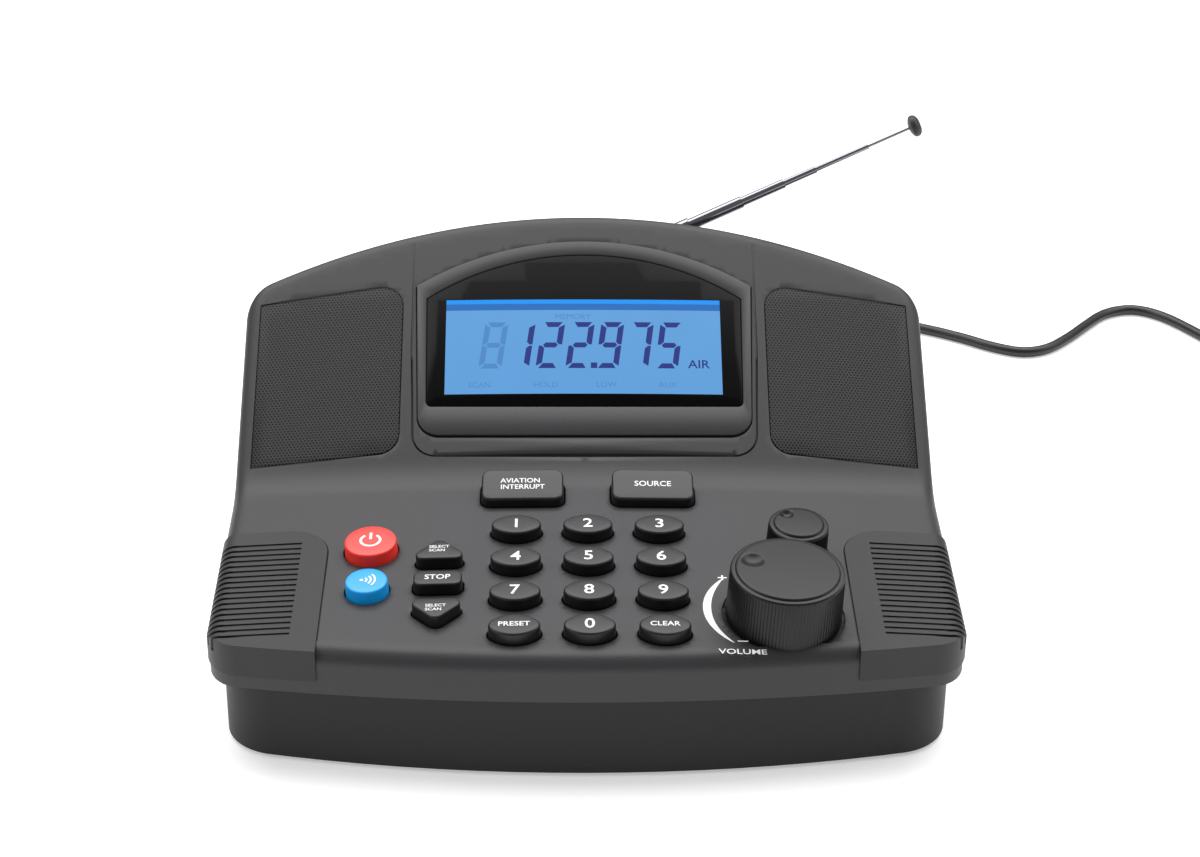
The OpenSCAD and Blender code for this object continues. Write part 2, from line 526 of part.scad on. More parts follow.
module cord_coil() color([0.05, 0.05, 0.05]) on_front() translate([coil_at[0], coil_at[1], 0.2]) rotate_extrude() translate([coil_r - 2.4, 0]) square([4.8, 28.6]);
module wall_adapter() color([0.07, 0.07, 0.07]) on_front() translate([coil_at[0] + coil_r, coil_at[1] + 80, 0]) {
    translate([-24, -34, 0.3]) linear_extrude(30) translate([24, 34]) pad(48, 68, 5);
    translate([0, -41, 15]) rotate([-90, 0, 0]) cylinder(r = 3.8, h = 8);
}
module adapter_pins() color([0.8, 0.75, 0.5]) on_front() translate([coil_at[0] + coil_r, coil_at[1] + 114.3, 15]) for (x = [-6.35, 6.35]) translate([x - 0.75, 0, -3.2]) cube([1.5, 16, 6.4]);

top_shell();
base_shell();
grip_left();
grip_right();
feet();
battery_cover();
batteries();
case_screws();
display_bezel();
display_lens();
lcd_glass();
display_board();
speaker_grille_left();
speaker_grille_right();
speaker_left();
speaker_right();
key_1();
key_2();
key_3();
key_4();
key_5();
key_6();
key_7();
key_8();
key_9();
key_preset();
key_0();
key_clear();
key_scan_up();
key_stop();
key_scan_down();
key_interrupt();
key_source();
power_button();
wireless_button();
volume_knob();
squelch_knob();
volume_shaft();
squelch_shaft();
volume_pot();
squelch_pot();
keypad_board();
main_board();
antenna_mount();
antenna_swivel();
antenna_base();
antenna_tube_1();
antenna_tube_2();
antenna_tube_3();
antenna_tube_4();
antenna_tube_5();
antenna_tip();
dc_jack();
aux_jack();
dc_plug();
power_cord();
cord_coil();
wall_adapter();
adapter_pins();
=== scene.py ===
import math

import bmesh
import bpy
from mathutils import Matrix, Vector
from mathutils.geometry import delaunay_2d_cdt


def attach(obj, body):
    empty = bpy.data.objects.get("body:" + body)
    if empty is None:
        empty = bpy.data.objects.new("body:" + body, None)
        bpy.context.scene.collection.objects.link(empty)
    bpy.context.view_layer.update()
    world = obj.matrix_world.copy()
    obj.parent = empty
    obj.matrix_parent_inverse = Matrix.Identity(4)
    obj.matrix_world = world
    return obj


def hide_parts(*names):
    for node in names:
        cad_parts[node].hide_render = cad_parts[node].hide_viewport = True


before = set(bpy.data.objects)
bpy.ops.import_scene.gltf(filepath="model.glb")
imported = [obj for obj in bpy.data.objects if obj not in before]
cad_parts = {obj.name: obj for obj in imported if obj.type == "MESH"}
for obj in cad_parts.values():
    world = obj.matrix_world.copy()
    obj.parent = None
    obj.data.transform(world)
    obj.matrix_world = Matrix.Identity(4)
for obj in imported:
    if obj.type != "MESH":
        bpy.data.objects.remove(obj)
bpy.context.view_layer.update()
print("frame loaded")

# Lengths are millimetres from the middle of the front edge, as in the CAD; row() takes them to the shared frame.
midY = 105.2
mm = 0.001


def row(x, y, z):
    return Vector((x * mm, (y - midY) * mm, z * mm))


cameraSet = {"at": (-11.33, -689.37, 488.32), "pitch": 27.5, "yaw": 1.18, "roll": -0.55, "lens": 76.8}
pitch, yaw, roll = (math.radians(cameraSet[k]) for k in ("pitch", "yaw", "roll"))
forward = Vector((math.sin(yaw) * math.cos(pitch), math.cos(yaw) * math.cos(pitch), -math.sin(pitch)))
right = Vector((math.cos(yaw), -math.sin(yaw), 0))
down = forward.cross(right)
right, down = (math.cos(roll) * right + math.sin(roll) * down,
               math.cos(roll) * down - math.sin(roll) * right)
cameraData = bpy.data.cameras.new("camera")
cameraData.lens = cameraSet["lens"]
cameraData.sensor_width = 36
cameraData.clip_start = 0.01
camera = bpy.data.objects.new("camera", cameraData)
turn = Matrix((right, -down, -forward)).transposed().to_4x4()
camera.matrix_world = Matrix.Translation(row(*cameraSet["at"])) @ turn
bpy.context.scene.collection.objects.link(camera)
bpy.context.scene.camera = camera


def linear(colour):
    values = (c / 255 for c in colour)
    return tuple(v / 12.92 if v <= 0.04045 else ((v + 0.055) / 1.055) ** 2.4 for v in values) + (1,)


def finishOf(name, colour, rough, metal=0.0, grain=0.0, size=900, shade=0.12, glow=0.0, shine=0.5, screen=False):
    # plastic or metal with a slightly uneven tone and a moulded grain; a screen shows its colour as light only
    mat = bpy.data.materials.new(name)
    mat.use_nodes = True
    nodes, links = mat.node_tree.nodes, mat.node_tree.links
    bsdf = nodes["Principled BSDF"]
    coords = nodes.new("ShaderNodeTexCoord")
    noise = nodes.new("ShaderNodeTexNoise")
    noise.inputs["Scale"].default_value = size
    noise.inputs["Detail"].default_value = 3
    links.new(coords.outputs["Object"], noise.inputs["Vector"])
    mix = nodes.new("ShaderNodeMix")
    mix.data_type = "RGBA"
    base = linear(colour)
    mix.inputs["A"].default_value = tuple(c * (1 - shade) for c in base[:3]) + (1,)
    mix.inputs["B"].default_value = tuple(min(1, c * (1 + shade)) for c in base[:3]) + (1,)
    links.new(noise.outputs["Fac"], mix.inputs["Factor"])
    if screen:
        bsdf.inputs["Base Color"].default_value = (0.01, 0.01, 0.015, 1)
    else:
        links.new(mix.outputs["Result"], bsdf.inputs["Base Color"])
    bsdf.inputs["Roughness"].default_value = rough
    bsdf.inputs["Specular IOR Level"].default_value = shine
    bsdf.inputs["Metallic"].default_value = metal
    if grain:
        bump = nodes.new("ShaderNodeBump")
        bump.inputs["Strength"].default_value = grain
        bump.inputs["Distance"].default_value = 0.0002
        links.new(noise.outputs["Fac"], bump.inputs["Height"])
        links.new(bump.outputs["Normal"], bsdf.inputs["Normal"])
    if glow:
        links.new(mix.outputs["Result"], bsdf.inputs["Emission Color"])
        bsdf.inputs["Emission Strength"].default_value = glow
    return mat


shellMat = finishOf("shellPlastic", (50, 50, 52), 0.46, shine=0.34, grain=0.25, size=2600)
baseMat = finishOf("basePlastic", (38, 37, 38), 0.5, shine=0.2, grain=0.25, size=2600)
gripMat = finishOf("gripPlastic", (42, 42, 44), 0.48, shine=0.3, grain=0.2, size=2600)
bezelMat = finishOf("bezelPlastic", (48, 48, 50), 0.42, shine=0.34, grain=0.15, size=2600)
darkMat = finishOf("darkPlastic", (34, 34, 36), 0.5, grain=0.2, size=1500)
keyMat = finishOf("keyRubber", (24, 24, 25), 0.36, shine=0.38, grain=0.1, size=1500)
knobMat = finishOf("knobPlastic", (18, 18, 19), 0.36, shine=0.3, grain=0.1, size=1500)
# the red and blue buttons glow a little: painted light that brightens them
redMat = finishOf("redButton", (238, 52, 44), 0.35, grain=0.05, size=1500, glow=0.1)
blueMat = finishOf("blueButton", (8, 152, 228), 0.35, grain=0.05, size=1500, glow=0.1)
lensMat = finishOf("lensBlack", (5, 5, 6), 0.15, shade=0.05, shine=0.08)
chromeMat = finishOf("chrome", (132, 132, 137), 0.14, metal=1.0, shade=0.04)
steelMat = finishOf("steel", (170, 170, 172), 0.32, metal=1.0)
boardMat = finishOf("boardGreen", (20, 88, 48), 0.5, grain=0.2)
rubberMat = finishOf("footRubber", (20, 20, 20), 0.8, grain=0.3)
cordMat = finishOf("cordBlack", (16, 16, 17), 0.4, grain=0.1)
brassMat = finishOf("brass", (205, 175, 100), 0.25, metal=1.0)
cellMat = finishOf("cellWrap", (120, 124, 130), 0.35, metal=0.4)
# the print's glow is painted light that keeps the lettering bright where the knobs' shadows fall on it
printMat = finishOf("whitePrint", (222, 222, 222), 0.6, shade=0.03, glow=0.22)
digitMat = finishOf("digitInk", (24, 44, 130), 0.4, shade=0.05, glow=0.9, shine=0.1, screen=True)
ghostMat = finishOf("ghostInk", (76, 140, 204), 0.4, shade=0.03, glow=0.9, shine=0.1, screen=True)
lcdMat = finishOf("lcdField", (98, 166, 228), 0.2, shade=0.04, glow=0.9, size=60, shine=0.1, screen=True)
bandMat = finishOf("lcdBand", (25, 112, 195), 0.2, shade=0.04, glow=0.9, shine=0.1, screen=True)
stripMat = finishOf("lcdStrip", (0, 150, 250), 0.2, shade=0.04, glow=0.95, shine=0.1, screen=True)
print("materials ready")


def place(bm, name, mat, body="case", stands=(), angle=35, closed=True):
    # turns a finished bmesh into a piece that rides its body and stands for CAD nodes
    bmesh.ops.remove_doubles(bm, verts=bm.verts, dist=1e-6)
    if closed:
        bmesh.ops.recalc_face_normals(bm, faces=bm.faces)
    mesh = bpy.data.meshes.new(name)
    bm.to_mesh(mesh)
    bm.free()
    for polygon in mesh.polygons:
        polygon.use_smooth = True
    mesh.set_sharp_from_angle(angle=math.radians(angle))
    mesh.materials.append(mat)
    obj = bpy.data.objects.new(name, mesh)
    bpy.context.scene.collection.objects.link(obj)
    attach(obj, body)
    if stands:
        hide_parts(*stands)
    return obj


def loft(bm, rings, capFirst=True, capLast=True, nested=False):
    # closed loops joined one to the next, with a face over each end where wanted; level loops that lie
    # in each other are nested, as a bridge would twist between them
    corners = [[bm.verts.new(p) for p in ring] for ring in rings]
    if nested:
        for near, far in zip(corners, corners[1:]):
            for i in range(len(near)):
                bm.faces.new((near[i - 1], near[i], far[i], far[i - 1]))
    else:
        loops = [[bm.edges.new((verts[i - 1], verts[i])) for i in range(len(verts))] for verts in corners]
        for near, far in zip(loops, loops[1:]):
            bmesh.ops.bridge_loops(bm, edges=near + far)
    for verts, wanted in ((corners[0], capFirst), (corners[-1], capLast)):
        if wanted:
            bm.faces.new(verts)


def addFaces(bm, points, faces):
    part = bpy.data.meshes.new("part")
    part.from_pydata([tuple(p) for p in points], [], faces)
    bm.from_mesh(part)
    bpy.data.meshes.remove(part)


def faceUp(bm):
    bm.normal_update()
    bmesh.ops.reverse_faces(bm, faces=[f for f in bm.faces if f.normal.z < 0])


def spread(bm, spot):
    # takes a flat drawing in X and Y onto the radio with spot(x, y), upper side out
    faceUp(bm)
    for vert in bm.verts:
        vert.co = row(*spot(vert.co.x, vert.co.y))


def drawn(polygons, spot, name, mat, body="case"):
    # thin printed shapes, each polygon one face
    bm = bmesh.new()
    for polygon in polygons:
        bm.faces.new([bm.verts.new((x, y, 0)) for x, y in polygon])
    spread(bm, spot)
    return place(bm, name, mat, body, closed=False)


def axisAt(at, along, side):
    # from a piece made round its own Z, in millimetres, to its place on the radio
    turned = Matrix((side, along.cross(side), along)).transposed().to_4x4()
    return Matrix.Translation(row(*at)) @ turned @ Matrix.Scale(mm, 4)


def spun(bm, profile, steps, where):
    # (distance, radius) pairs spun right round with both ends closed, then taken to their place
    verts = [bm.verts.new((r, 0, s)) for s, r in profile]
    edges = [bm.edges.new(pair) for pair in zip(verts, verts[1:])]
    bmesh.ops.spin(bm, geom=verts + edges, cent=(0, 0, 0), axis=(0, 0, 1), dvec=(0, 0, 0),
                   angle=2 * math.pi, steps=steps, use_merge=True, use_duplicate=False)
    bmesh.ops.holes_fill(bm, edges=[e for e in bm.edges if e.is_boundary])
    bm.transform(where)


def copyNode(node, name, mat, body, angle=30):
    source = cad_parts[node]
    bm = bmesh.new()
    addFaces(bm, [source.matrix_world @ v.co for v in source.data.vertices],
             [tuple(p.vertices) for p in source.data.polygons])
    place(bm, name, mat, body, (node,), angle, closed=False)


def arc(cx, cy, r, a, b, n):
    angles = (a + (b - a) * i / n for i in range(n + 1))
    return [(cx + r * math.cos(t), cy + r * math.sin(t)) for t in angles]


def blob(ring, n=10):
    # one outline round circles (x, y, radius) listed anticlockwise; radius 0 is a sharp corner
    def normal(a, b):
        d = math.hypot(b[0] - a[0], b[1] - a[1])
        return math.atan2(b[1] - a[1], b[0] - a[0]) - math.acos((a[2] - b[2]) / d)
    points = []
    for i, (x, y, r) in enumerate(ring):
        if r <= 0:
            points.append((x, y))
            continue
        a, b = normal(ring[i - 1], ring[i]), normal(ring[i], ring[(i + 1) % len(ring)])
        points += arc(x, y, r, a, a + (b - a) % (2 * math.pi), n)
    return points


def pad(w, d, r, n=8):
    x, y = w / 2 - r, d / 2 - r
    return blob([(-x, -y, r), (x, -y, r), (x, y, r), (-x, y, r)], n)


def oval(a, b, e):
    # half width a, half height b, end radius e, of four true arcs
    x = a - e
    r = (x * x + b * b - e * e) / (2 * (b - e))
    t = math.atan2(r - b, x)
    half = arc(x, 0, e, -t, t, 12) + arc(0, b - r, r, t, math.pi - t, 14)[1:-1]
    return half + [(-x, -y) for x, y in half]


def disc(r, n=48):
    return arc(0, 0, r, 0, 2 * math.pi, n)[:-1]


def inset(points, d):
    # each point of a smooth anticlockwise outline, moved inwards by d
    out = []
    for i, (x, y) in enumerate(points):
        a, c = points[i - 1], points[(i + 1) % len(points)]
        ex, ey = c[0] - a[0], c[1] - a[1]
        long = math.hypot(ex, ey) or 1
        out.append((x - ey / long * d, y + ex / long * d))
    return out


def inside(x, y, loop):
    hit = False
    for i in range(len(loop)):
        (x1, y1), (x2, y2) = loop[i - 1], loop[i]
        if (y1 > y) != (y2 > y) and x < (x2 - x1) * (y - y1) / (y2 - y1) + x1:
            hit = not hit
    return hit


case = {"deckSlope": math.radians(4.8), "panelSlope": math.radians(33.8), "frontH": 46.1, "bendY": 105.0,
        "crown": 1750.0, "skirt": 16.5, "proud": 0.6, "bendFillet": 4.0}
deckAt = (case["deckSlope"], 0, case["frontH"])
panelAt = (case["panelSlope"], case["bendY"], case["frontH"] + case["bendY"] * math.tan(case["deckSlope"]))


def surface(x, v, h, slope, y0, z0):
    # a point h above the crowned deck or panel, x across and v up its slope
    r = case["crown"] + h
    t = math.asin(x / case["crown"])
    lift = r * math.cos(t) - case["crown"]
    return Vector((r * math.sin(t), y0 + v * math.cos(slope) - lift * math.sin(slope),
                   z0 + v * math.sin(slope) + lift * math.cos(slope)))


def onDeck(x, v, h=0):
    return surface(x, v, h, *deckAt)


def onPanel(x, v, h=0):
    return surface(x, v, h, *panelAt)


def keyFrame(x, v):
    # the flat local frame of a key or knob that touches the deck at (x, v)
    o = onDeck(x, v)
    ux = (onDeck(x + 0.5, v) - onDeck(x - 0.5, v)).normalized()
    uy = (onDeck(x, v + 0.5) - onDeck(x, v - 0.5)).normalized()
    uz = ux.cross(uy)
    return lambda px, py, h=0: o + ux * px + uy * py + uz * h


def heightOf(x, y, h, slope, y0, z0):
    lift = math.sqrt((case["crown"] + h) ** 2 - x * x) - case["crown"]
    v = (y - y0 + lift * math.sin(slope)) / math.cos(slope)
    return z0 + v * math.sin(slope) + lift * math.cos(slope)


def topHeight(x, y):
    a, b = (heightOf(x, y, -case["proud"], *at) for at in (deckAt, panelAt))
    soft, apart = case["bendFillet"], abs(a - b)
    return max(a, b) + ((soft - apart) ** 2 / (4 * soft) if apart < soft else 0)


topPlan = {"w": 250, "yf": 0, "rf": 500, "cf": 14, "yr": 200.7, "rr": 343, "cr": 13}


def planRing(d):
    # the case's outline inset by d: bowed front and back, straight sides, round corners
    w, yf, rf, cf = topPlan["w"] - 2 * d, topPlan["yf"] + d, topPlan["rf"] - d, topPlan["cf"] - d
    yr, rr, cr = topPlan["yr"] - d, topPlan["rr"] - d, topPlan["cr"] - d
    bowSteps, cornerSteps, sideSteps = 60, 12, 26
    xf, xr = w / 2 - cf, w / 2 - cr
    yfc = yf + rf - math.sqrt((rf - cf) ** 2 - xf * xf)
    yrc = yr - rr + math.sqrt((rr - cr) ** 2 - xr * xr)
    tf = math.asin(xf / (rf - cf))
    tr = math.asin(xr / (rr - cr))
    low, high = -math.pi / 2, math.pi / 2
    points = arc(0, yf + rf, rf, low - tf, low + tf, bowSteps)
    points += arc(xf, yfc, cf, low + tf, 0, cornerSteps)[1:]
    points += [(w / 2, yfc + (yrc - yfc) * i / sideSteps) for i in range(1, sideSteps)]
    points += arc(xr, yrc, cr, 0, high - tr, cornerSteps)
    points += arc(0, yr - rr, rr, high - tr, high + tr, bowSteps)[1:]
    points += arc(-xr, yrc, cr, high + tr, math.pi, cornerSteps)[1:]
    points += [(-w / 2, yrc + (yfc - yrc) * i / sideSteps) for i in range(1, sideSteps)]
    points += arc(-xf, yfc, cf, math.pi, math.pi + math.pi / 2 - tf, cornerSteps)[:-1]
    return points


keySet = {"columns": (-23.9, 0.5, 24.9), "rows": (72.2, 53.0, 33.7, 14.9), "numeral": (8.7, 6, 4),
          "sideX": -49.6, "sideRows": (58.0, 41.6, 24.6), "stop": (16.6, 8.6, 3),
          "up": [(-5.2, -2.9, 2.9), (5.2, -2.9, 2.9), (0, 2.6, 2.9)],
          "down": [(5.2, 2.9, 2.9), (-5.2, 2.9, 2.9), (0, -2.6, 2.9)],
          "wideX": (-22, 23.4), "wideV": 95.8, "wide": (29, 15, 3.5), "wideSlope": math.radians(11.8),
          "roundX": -73.1, "powerV": 63.9, "powerR": 9.1, "wirelessV": 40.9, "wirelessR": 7.3,
          "gap": 0.35, "depth": -3.2, "height": 3.6, "wideHeight": 4.1, "smallEdge": 0.7}
knobSet = {"volume": {"at": (64.3, 27.0), "r": 18.8, "high": 17.7, "dimple": (-11.2, 4.2, 3.8), "ridges": 104},
           "squelch": {"at": (71.2, 62.8), "r": 10.2, "high": 11.7, "dimple": (-3.8, 4.6, 2.4), "ridges": 60},
           "recess": -1.6}
displaySet = {"middle": 54.2, "glass": {"top": 39.2, "bow": 99, "half": 57.6, "corner": (55, -22.6, 2), "shoulder": 10},
              "rim": {"top": 45.3, "bow": 110, "half": 61.6, "corner": (52, -28.5, 8), "shoulder": 30}}
grilleSet = {"x": 93, "v": 45.5, "inner": 18.5, "outer": -26, "low": (-26.5, -38.8), "high": (27.3, 29), "corner": 8}


def archedOutline(part, g):
    # a plate with two round lower corners and a bowed top edge, grown by g
    x, y, r = part["corner"]
    half, rise = part["half"] + g, part["shoulder"]
    ring = [(-x, y, r + g), (x, y, r + g), (half, rise, 0), (half, 2 * rise, 0), (-half, 2 * rise, 0), (-half, rise, 0)]
    lower = blob(ring)[:22]
    start = math.acos(half / (part["bow"] + g))
    return lower + arc(0, part["top"] - part["bow"], part["bow"] + g, start, math.pi - start, 30)


def grilleOutline(g, s):
    lowInner, lowOuter = grilleSet["low"]
    highInner, highOuter = grilleSet["high"]
    r = grilleSet["corner"] + g
    points = blob([(grilleSet["outer"] - g, lowOuter - g, 0), (grilleSet["inner"], lowInner, r),
                   (grilleSet["inner"], highInner, r), (grilleSet["outer"] - g, highOuter + g, 0)])
    return points if s < 0 else [(-x, y) for x, y in reversed(points)]


def wellList():
    # every recess of the top: its local frame, outline, depth, and whether it keeps a floor
    gap, depth = keySet["gap"], keySet["depth"]
    wells = []

    def keyWell(x, v, outline):
        wells.append((keyFrame(x, v), outline, depth, False))

    for v in keySet["rows"]:
        for x in keySet["columns"]:
            keyWell(x, v, oval(*(k + gap for k in keySet["numeral"])))
    upV, stopV, downV = keySet["sideRows"]
    w, d, r = keySet["stop"]
    keyWell(keySet["sideX"], upV, blob([(x, y, r + gap) for x, y, r in keySet["up"]]))
    keyWell(keySet["sideX"], stopV, pad(w + 2 * gap, d + 2 * gap, r + gap))
    keyWell(keySet["sideX"], downV, blob([(x, y, r + gap) for x, y, r in keySet["down"]]))
    w, d, r = keySet["wide"]
    for x in keySet["wideX"]:
        keyWell(x, keySet["wideV"], pad(w + 2 * gap, d + 2 * gap, r + gap))
    keyWell(keySet["roundX"], keySet["powerV"], disc(keySet["powerR"] + gap))
    keyWell(keySet["roundX"], keySet["wirelessV"], disc(keySet["wirelessR"] + gap))
    wells.append((keyFrame(*knobSet["volume"]["at"]), disc(20.2, 72), knobSet["recess"], True))
    wells.append((keyFrame(*knobSet["squelch"]["at"]), disc(11.3, 60), knobSet["recess"], True))

    def panelWell(x, v, outline, depth):
        wells.append((lambda px, py, h: onPanel(x + px, v + py, h), outline, depth, False))

    for s in (-1, 1):
        panelWell(s * grilleSet["x"], grilleSet["v"], grilleOutline(0.15, s), -2.2)
    panelWell(0, displaySet["middle"], archedOutline(displaySet["rim"], 0.15), -2.3)
    return wells


grooveSet = {"half": 63.2, "top": 46.6, "corner": (53, -35.5, 9), "rims": ((0.0, 0.8, 0.0), (0.1, 0.7, -1.3))}


def groovePath(g):
    # up both sides of the display and round below it, from the upper left corner
    half, top = grooveSet["half"] - g, grooveSet["top"]
    x, y, r = grooveSet["corner"]
    ring = [(-x, y, r - g), (x, y, r - g), (half, 0, 0), (half, top, 0), (-half, top, 0), (-half, 0, 0)]
    path = [p for p in blob(ring, 12) if p[1] < top - 0.6]
    first = min(range(len(path)), key=lambda i: (path[i][0] > 0) * 1000 - path[i][1])
    return [(-half, top)] + path[first:] + path[:first] + [(half, top)]


def buildTop():
    # the sides are lofted rings; the field inside them is one flat triangulation lifted to the crowned surface
    edgeR, gap = 5.4, case["proud"]
    bm = bmesh.new()
    rings = []
    for d in (0.0, 0.1, 0.4, 0.9, 1.6, 2.6, 3.8, 5.4):
        flat = planRing(gap + d)
        drop = edgeR - math.sqrt(edgeR * edgeR - (edgeR - d) ** 2)
        rings.append([row(x, y, topHeight(x, y) - drop) for x, y in flat])
    parting, lip = ([row(x, y, heightOf(x, y, -case["skirt"], *deckAt)) for x, y in planRing(d)] for d in (gap, 3.2))
    lipUp = [p + Vector((0, 0, 4 * mm)) for p in lip]
    loft(bm, [lipUp, lip, parting] + rings, False, False, nested=True)
    points, heights, edges, holes, floors = [], [], [], [], []

    def addLoop(loop, zs):
        start = len(points)
        points.extend(Vector(p) for p in loop)
        heights.extend(zs)
        edges.extend((start + i, start + (i + 1) % len(loop)) for i in range(len(loop)))

    addLoop(flat, [topHeight(x, y) for x, y in flat])
    for at, outline, depth, keep in wellList():
        rims = []
        for off, h in ((0.35, 0.0), (0.08, -0.12), (0.0, depth)):
            rim = [at(px, py, h) for px, py in inset(outline, -off)]
            if h == depth:
                rim = [Vector((x, y, p.z)) for (x, y), p in zip(inset([(p.x, p.y) for p in rims], 0.05), rim)]
            else:
                rim = [Vector((p.x, p.y, topHeight(p.x, p.y) + h)) for p in rim]
            rims = rim
            addLoop([(p.x, p.y) for p in rim], [p.z for p in rim])
        loop = [(p.x, p.y) for p in rims]
        if keep:
            floors.append((loop, depth))
        else:
            holes.append(loop)
    for low, high, h in grooveSet["rims"]:
        spots = [onPanel(x, displaySet["middle"] + y) for x, y in groovePath(low) + groovePath(high)[::-1]]
        addLoop([(p.x, p.y) for p in spots], [topHeight(p.x, p.y) + h for p in spots])
    field = inset(flat, 1.2)
    boxes = [(min(x for x, y in h), max(x for x, y in h), min(y for x, y in h), max(y for x, y in h), h) for h in holes]
    y, odd, spacing = 4.0, 0, 2.6
    while y < 200:
        odd = 1 - odd
        for i in range(-48, 49):
            x = spacing * (i + odd / 2)
            taken = any(a < x < b and c < y < d and inside(x, y, h) for a, b, c, d, h in boxes)
            if not taken and inside(x, y, field):
                points.append(Vector((x, y)))
                heights.append(topHeight(x, y) + sum(d for loop, d in floors if inside(x, y, loop)))
        y += 1.4 if 92 < y < 118 else 2.4
    spots, _, triangles, origins, _, _ = delaunay_2d_cdt(points, edges, [], 0, 1e-5)
    kept = []
    for face in triangles:
        cx = sum(spots[i].x for i in face) / len(face)
        cy = sum(spots[i].y for i in face) / len(face)
        if inside(cx, cy, flat) and not any(inside(cx, cy, h) for h in holes):
            kept.append(tuple(face))
    zs = [heights[o[0]] if o else topHeight(p.x, p.y) for p, o in zip(spots, origins)]
    addFaces(bm, [row(p.x, p.y, z) for p, z in zip(spots, zs)], kept)
    return place(bm, "caseTop", shellMat, "case", ("top_shell",), 38)


top = buildTop()
print("case top", len(top.data.polygons))

copyNode("base_shell", "caseBase", baseMat, "case", 40)
copyNode("grip_left", "gripLeft", gripMat, "case", 28)
copyNode("grip_right", "gripRight", gripMat, "case", 28)

gripSet = {"x": 88, "v": 77, "corner": 14, "edgeR": 5.4, "skirtLow": 6.0, "lift": 0.03, "wide": 0.5}


def gripLine(s, off):
    # one edge of the painted shadow strip beside the grip, from the skirt over the front edge and round to the side
    # edge
    x0, top, c = gripSet["x"] - off, gripSet["v"] + off, gripSet["corner"] + off
    r, lift, low = gripSet["edgeR"], gripSet["lift"], gripSet["skirtLow"]
    bow = topPlan["rf"] - case["proud"]
    frontY = bow + 2 * case["proud"] - math.sqrt(bow ** 2 - x0 * x0)
    line = [(s * x0, frontY - lift, topHeight(x0, frontY + 3) - r - low * (7 - i) / 7) for i in range(8)]
    for i in range(1, 9):
        a = math.pi / 2 * i / 8
        y = frontY + r * (1 - math.cos(a))
        line.append((s * x0, y, topHeight(x0, y) - r * (1 - math.sin(a)) + lift))
    y = frontY + 8
    while y < top - c:
        line.append((s * x0, y, topHeight(x0, y) + lift))
        y += 4
    bend = arc(gripSet["x"] + gripSet["corner"], gripSet["v"] - gripSet["corner"], c, math.pi, math.pi / 2, 12)
    for x, y in bend + [(102 + i * 2.3, top) for i in range(1, 8)]:
        line.append((s * x, y, topHeight(x, y) + lift))
    return line


# each grip gets a thin near-black strip beside it: painted shadow for the gap between grip and shell
for s, side in ((-1, "Left"), (1, "Right")):
    pairs = list(zip(gripLine(s, 0.0), gripLine(s, gripSet["wide"])))
    strip = [(2 * i, 2 * i + 2, 2 * i + 3, 2 * i + 1)[::s] for i in range(len(pairs) - 1)]
    bm = bmesh.new()
    addFaces(bm, [row(*p) for pair in pairs for p in pair], strip)
    place(bm, "gripGapShadow" + side, lensMat, closed=False)


def acrossTop(outline, hole=()):
    # triangles over an outline with a fine grid in it, so that a wide plate follows the crown
    points = [Vector(p) for p in list(outline) + list(hole)]
    n, m = len(outline), len(hole)
    edges = [(i, (i + 1) % n) for i in range(n)] + [(n + i, n + (i + 1) % m) for i in range(m)]
    if not hole:
        xs, ys = [p[0] for p in outline], [p[1] for p in outline]
        clear = inset(outline, 0.8)
        x = min(xs) + 4
        while x < max(xs) - 1:
            y = min(ys) + 4
            while y < max(ys) - 1:
                if inside(x, y, clear):
                    points.append(Vector((x, y)))
                y += 8
            x += 4
    spots, _, triangles, _, _, _ = delaunay_2d_cdt(points, edges, [], 1, 1e-6)
    kept = []
    for face in triangles:
        cx, cy = (sum(spots[i][k] for i in face) / len(face) for k in (0, 1))
        if not hole or not inside(cx, cy, hole):
            kept.append(tuple(face))
    return spots, kept


def plate(name, x, v, outline, low, high, mat, stands):
    # a crowned plate on the panel with a small rounded edge
    edge = 0.3
    bm = bmesh.new()
    rings = [[row(*onPanel(x + px, v + py, low)) for px, py in outline]]
    for d, drop in ((0.0, edge), (edge * 0.13, edge * 0.5), (edge * 0.5, edge * 0.13), (edge, 0.0)):
        rings.append([row(*onPanel(x + px, v + py, high - drop)) for px, py in inset(outline, d)])
    loft(bm, rings, True, False)
    spots, triangles = acrossTop(inset(outline, edge))
    addFaces(bm, [row(*onPanel(x + p.x, v + p.y, high)) for p in spots], triangles)
    return place(bm, name, mat, "case", stands, 40)


def bezelPlate():
    # the plate round the glass: outer wall, inner wall and the face between them
    low, high, floor, soft = -2.1, 0.1, -2.4, ((0.5, 0), (0.15, 0.15), (0, 0.5))
    rim, hole = archedOutline(displaySet["rim"], 0), archedOutline(displaySet["glass"], 0.1)

    def at(points, h):
        return [row(*onPanel(x, displaySet["middle"] + y, h)) for x, y in points]

    bm = bmesh.new()
    loft(bm, [at(rim, low)] + [at(inset(rim, d), high - drop) for d, drop in reversed(soft)], False, False)
    loft(bm, [at(inset(hole, -d), high - drop) for d, drop in soft] + [at(inset(hole, 0), floor)], False, False)
    spots, triangles = acrossTop(inset(rim, 0.5), inset(hole, -0.5))
    addFaces(bm, at([(p.x, p.y) for p in spots], high), triangles)
    place(bm, "displayBezel", bezelMat, "case", ("display_bezel",), 40)


plate("displayLens", 0, displaySet["middle"], archedOutline(displaySet["glass"], 0), -2.1, -0.15, lensMat,
      ("display_lens",))
bezelPlate()

